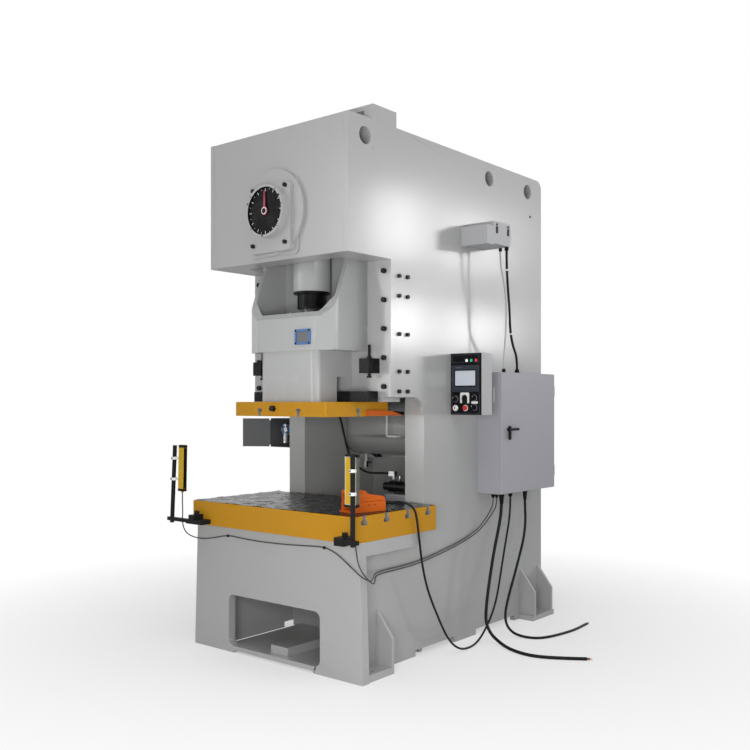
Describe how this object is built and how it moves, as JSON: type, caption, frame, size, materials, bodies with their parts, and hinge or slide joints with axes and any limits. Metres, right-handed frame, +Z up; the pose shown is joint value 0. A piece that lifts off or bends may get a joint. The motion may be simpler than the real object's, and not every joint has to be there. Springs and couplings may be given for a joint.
{
  "type": "mechanical stamping press",
  "caption": "Gap-frame mechanical stamping press with a single crank, geared drive, tee-slotted bolster, slide, light curtains, foot switch and side-mounted control cabinet.",
  "frame": {"origin": "on the floor at the middle of the four anchor holes", "axes": "+Z up, -Y towards the operator in front of the press, +X towards the side with the cabinet"},
  "size_m": [2.3404, 2.2839, 3.194],
  "materials": {
    "frame_paint": "glossy light grey enamel",
    "slide_paint": "glossy light grey enamel on a casting",
    "yellow_paint": "glossy orange-yellow enamel",
    "bare_steel": "machined steel",
    "bare_iron": "machined cast iron",
    "bronze": "bearing bronze",
    "black_steel": "black oxide",
    "black_enamel": "black enamel",
    "red_pointer": "red enamel",
    "cabinet_paint": "satin mid grey powder coat",
    "dark_box_paint": "satin dark grey powder coat",
    "air_fittings": "cast fittings with clear bowls",
    "switch_gear": "moulded switch gear",
    "curtain_yellow": "yellow powder coat",
    "orange_paint": "orange enamel",
    "black_plastic": "moulded plastic",
    "white_plastic": "moulded plastic",
    "red_plastic": "moulded plastic",
    "cable_rubber": "cable sheath",
    "cable_grey": "grey cable sheath",
    "belt_rubber": "vee belt",
    "film": "thin dark film, crinkled"
  },
  "bodies": {
    "frame": {"right_side_frame": "frame_paint", "left_side_frame": "frame_paint", "bed": "frame_paint", "bed_table": "frame_paint", "head_front_plate": "frame_paint", "head_floor_plate": "frame_paint", "top_plate": "frame_paint", "cross_plates": "frame_paint", "rear_guard": "frame_paint", "gibs": "frame_paint", "bolster": "yellow_paint", "protective_film": "film", "knockout_stops": "black_steel", "crank_bearings": "bronze", "dial_housing": "frame_paint", "motor": "cabinet_paint", "drive_belts": "belt_rubber", "air_tank": "frame_paint", "lube_unit": "cabinet_paint", "control_cabinet": "cabinet_paint", "control_gear": "switch_gear", "operator_box": "cabinet_paint", "connector_box": "cabinet_paint", "air_box": "dark_box_paint", "air_service_unit": "air_fittings", "curtain_posts": "black_enamel", "curtain_units": "curtain_yellow", "foot_switch": "orange_paint", "black_screws": "black_steel", "supply_cable": "cable_rubber", "second_supply_cable": "cable_rubber", "foot_switch_cable": "cable_rubber", "left_curtain_cable": "cable_rubber", "right_curtain_cable": "cable_rubber", "head_cable_black": "cable_rubber", "head_cable_grey": "cable_grey", "lube_hose": "cable_rubber"},
    "crank": {"crankshaft": "bare_steel", "main_gear": "bare_iron", "dial_pointer": "red_pointer"},
    "pinion": {"pinion_shaft": "bare_steel", "clutch_brake": "bare_iron"},
    "flywheel": {"flywheel": "bare_iron"},
    "pulley": {"motor_pulley": "bare_iron"},
    "rod": {"connecting_rod": "bare_steel", "lock_nut": "black_steel"},
    "ram": {"slide": "slide_paint", "adjusting_screw": "bare_steel", "slide_side_bar": "orange_paint"},
    "knockout": {"knockout_bar": "black_steel"},
    "cabinet_door": {"cabinet_door": "cabinet_paint"},
    "cabinet_handle": {"cabinet_handle": "black_enamel"},
    "air_box_door": {"air_box_door": "dark_box_paint"},
    "selector_left": {"selector_left": "black_plastic"},
    "selector_right": {"selector_right": "black_plastic"},
    "key_switch": {"key_switch": "black_plastic"},
    "mode_selector": {"mode_selector": "black_plastic"},
    "run_button": {"run_button": "white_plastic"},
    "stop_button": {"stop_button": "red_plastic"},
    "foot_pedal": {"foot_pedal": "black_enamel"}
  },
  "joints": [
    {"name": "crank_turn", "type": "hinge", "parent": "frame", "child": "crank", "pos_m": [0, -0.75, 2.618], "axis": [0, 1, 0], "range_deg": [0, 180]},
    {"name": "pinion_turn", "type": "hinge", "parent": "frame", "child": "pinion", "pos_m": [0, -0.75, 2.114], "axis": [0, 1, 0], "range_deg": [-900, 0]},
    {"name": "ram_stroke", "type": "slide", "parent": "frame", "child": "rod", "axis": [0, 0, -1], "range_m": [0, 0.18]},
    {"name": "shut_height_adjust", "type": "slide", "parent": "rod", "child": "ram", "axis": [0, 0, -1], "range_m": [0, 0.08]},
    {"name": "knockout_lift", "type": "slide", "parent": "ram", "child": "knockout", "axis": [0, 0, 1], "range_m": [0, 0.07]},
    {"name": "flywheel_turn", "type": "hinge", "parent": "frame", "child": "flywheel", "pos_m": [0, -0.75, 2.114], "axis": [0, 1, 0], "continuous": true},
    {"name": "motor_pulley_turn", "type": "hinge", "parent": "frame", "child": "pulley", "pos_m": [0, -0.75, 1.15], "axis": [0, 1, 0], "continuous": true},
    {"name": "cabinet_door_swing", "type": "hinge", "parent": "frame", "child": "cabinet_door", "pos_m": [0.74, 0.954, 1.3], "axis": [0, 0, 1], "range_deg": [0, 110]},
    {"name": "cabinet_handle_turn", "type": "hinge", "parent": "cabinet_door", "child": "cabinet_handle", "pos_m": [0.755, 0.32, 1.337], "axis": [1, 0, 0], "range_deg": [-90, 0]},
    {"name": "air_box_door_swing", "type": "hinge", "parent": "frame", "child": "air_box_door", "pos_m": [-0.77, -0.335, 1.3], "axis": [0, 0, 1], "range_deg": [0, 149]},
    {"name": "left_selector_turn", "type": "hinge", "parent": "frame", "child": "selector_left", "pos_m": [0.605, -0.061, 1.534], "axis": [0, 1, 0], "range_deg": [-45, 45]},
    {"name": "right_selector_turn", "type": "hinge", "parent": "frame", "child": "selector_right", "pos_m": [0.743, -0.061, 1.541], "axis": [0, 1, 0], "range_deg": [-45, 45]},
    {"name": "key_switch_turn", "type": "hinge", "parent": "frame", "child": "key_switch", "pos_m": [0.673, -0.061, 1.541], "axis": [0, 1, 0], "range_deg": [0, 90]},
    {"name": "mode_selector_turn", "type": "hinge", "parent": "frame", "child": "mode_selector", "pos_m": [0.745, -0.061, 1.483], "axis": [0, 1, 0], "range_deg": [-45, 45]},
    {"name": "run_button_press", "type": "slide", "parent": "frame", "child": "run_button", "axis": [0, 1, 0], "range_m": [0, 0.004], "stiffness_N_per_m": 400, "springref_m": -0.003},
    {"name": "stop_button_press", "type": "slide", "parent": "frame", "child": "stop_button", "axis": [0, 1, 0], "range_m": [0, 0.004], "stiffness_N_per_m": 400, "springref_m": -0.003},
    {"name": "foot_pedal_press", "type": "hinge", "parent": "frame", "child": "foot_pedal", "pos_m": [0.52126, -0.92073, 0.9298], "axis": [0.9724, -0.2334, 0], "range_deg": [0, 10], "stiffness_Nm_per_rad": 3, "springref_deg": -14.32}
  ],
  "couplings": [
    {"joint": "pinion_turn", "follows": "crank_turn", "ratio": -5},
    {"joint": "ram_stroke", "follows": "crank_turn", "m_per_rad": 0.057296},
    {"joint": "motor_pulley_turn", "follows": "flywheel_turn", "ratio": 4.375}
  ]
}
